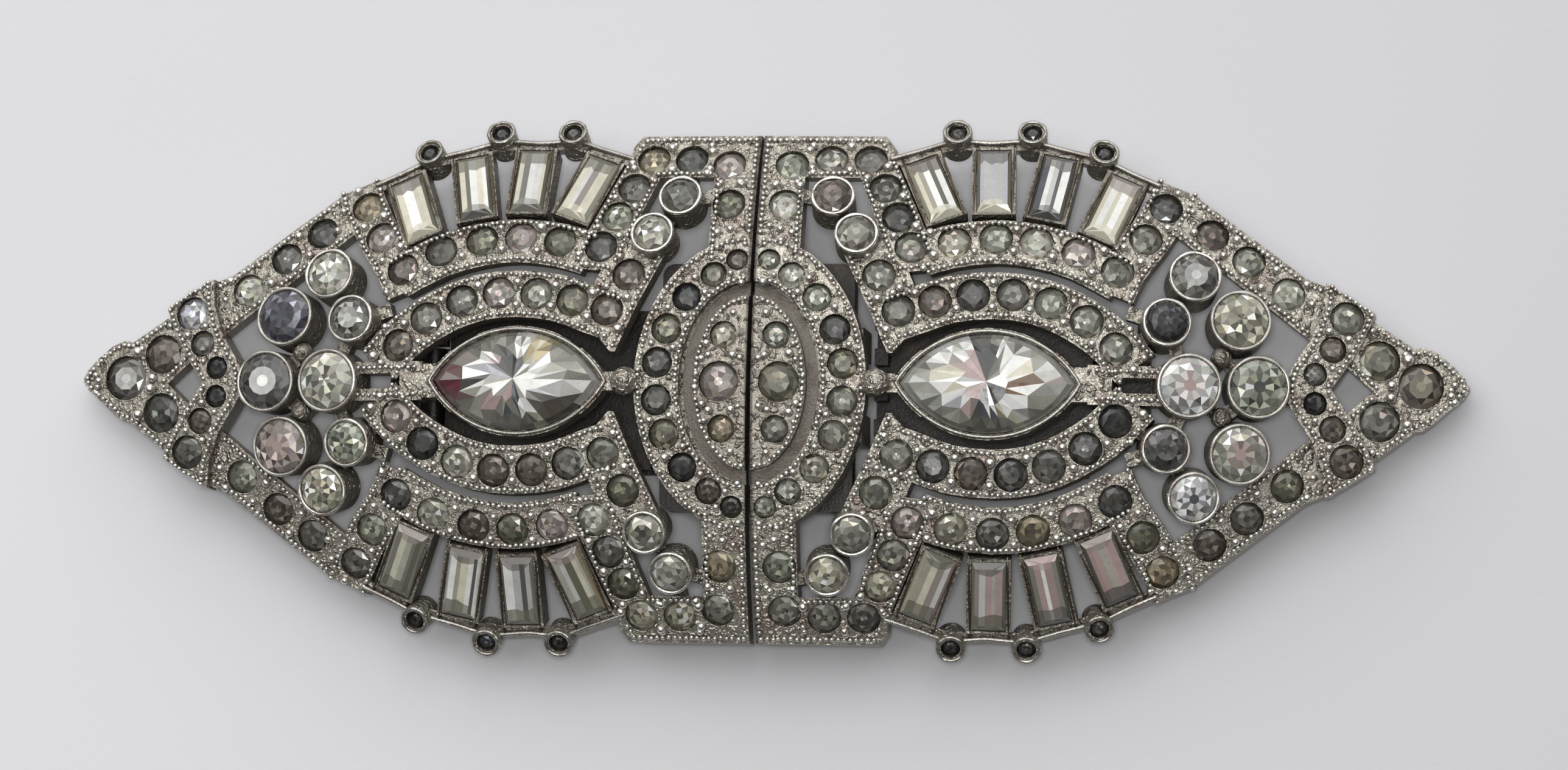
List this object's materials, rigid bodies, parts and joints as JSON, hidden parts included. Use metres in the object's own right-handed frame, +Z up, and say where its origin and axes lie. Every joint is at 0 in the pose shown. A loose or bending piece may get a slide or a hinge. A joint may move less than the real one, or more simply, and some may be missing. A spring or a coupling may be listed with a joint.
{
  "type": "dress clip brooch",
  "caption": "Pair of mirrored openwork dress clips joined on one brooch frame, with round, rectangular and pointed oval stones in cast silver-coloured metal.",
  "frame": {"origin": "centre of the bounding box in plan, at the plane the flaps rest on", "axes": "+X along the brooch toward the picture's right, +Y toward the picture's top, +Z up out of the front"},
  "size_m": [0.083, 0.0321, 0.0085],
  "materials": {
    "plated_metal": "worn silver-coloured plate on a cast alloy",
    "dark_metal": "tarnished",
    "pin_steel": "bare wire",
    "clear_stone": "cut and foiled",
    "smoky_stone": "cut, with aged foil"
  },
  "bodies": {
    "root": {"right_casting": "plated_metal", "left_casting": "plated_metal", "right_marquise": "clear_stone", "left_marquise": "clear_stone", "right_band_stones": "smoky_stone", "left_band_stones": "smoky_stone", "right_cup_stones": "clear_stone", "left_cup_stones": "clear_stone", "right_knob_stones": "smoky_stone", "left_knob_stones": "smoky_stone", "right_baguette_1": "clear_stone", "right_baguette_2": "clear_stone", "right_baguette_3": "clear_stone", "right_baguette_4": "clear_stone", "right_baguette_5": "clear_stone", "right_baguette_6": "clear_stone", "right_baguette_7": "clear_stone", "right_baguette_8": "clear_stone", "right_cluster_1": "clear_stone", "right_cluster_2": "clear_stone", "right_cluster_3": "clear_stone", "right_cluster_4": "clear_stone", "right_cluster_5": "clear_stone", "right_cluster_6": "clear_stone", "right_cluster_7": "clear_stone", "right_cluster_8": "clear_stone", "left_baguette_1": "clear_stone", "left_baguette_2": "clear_stone", "left_baguette_3": "clear_stone", "left_baguette_4": "clear_stone", "left_baguette_5": "clear_stone", "left_baguette_6": "clear_stone", "left_baguette_7": "clear_stone", "left_baguette_8": "clear_stone", "left_cluster_1": "clear_stone", "left_cluster_2": "clear_stone", "left_cluster_3": "clear_stone", "left_cluster_4": "clear_stone", "left_cluster_5": "clear_stone", "left_cluster_6": "clear_stone", "left_cluster_7": "clear_stone", "left_cluster_8": "clear_stone", "right_flap": "dark_metal", "left_flap": "dark_metal", "brooch_frame": "dark_metal", "pin_stem": "pin_steel"}
  },
  "joints": []
}
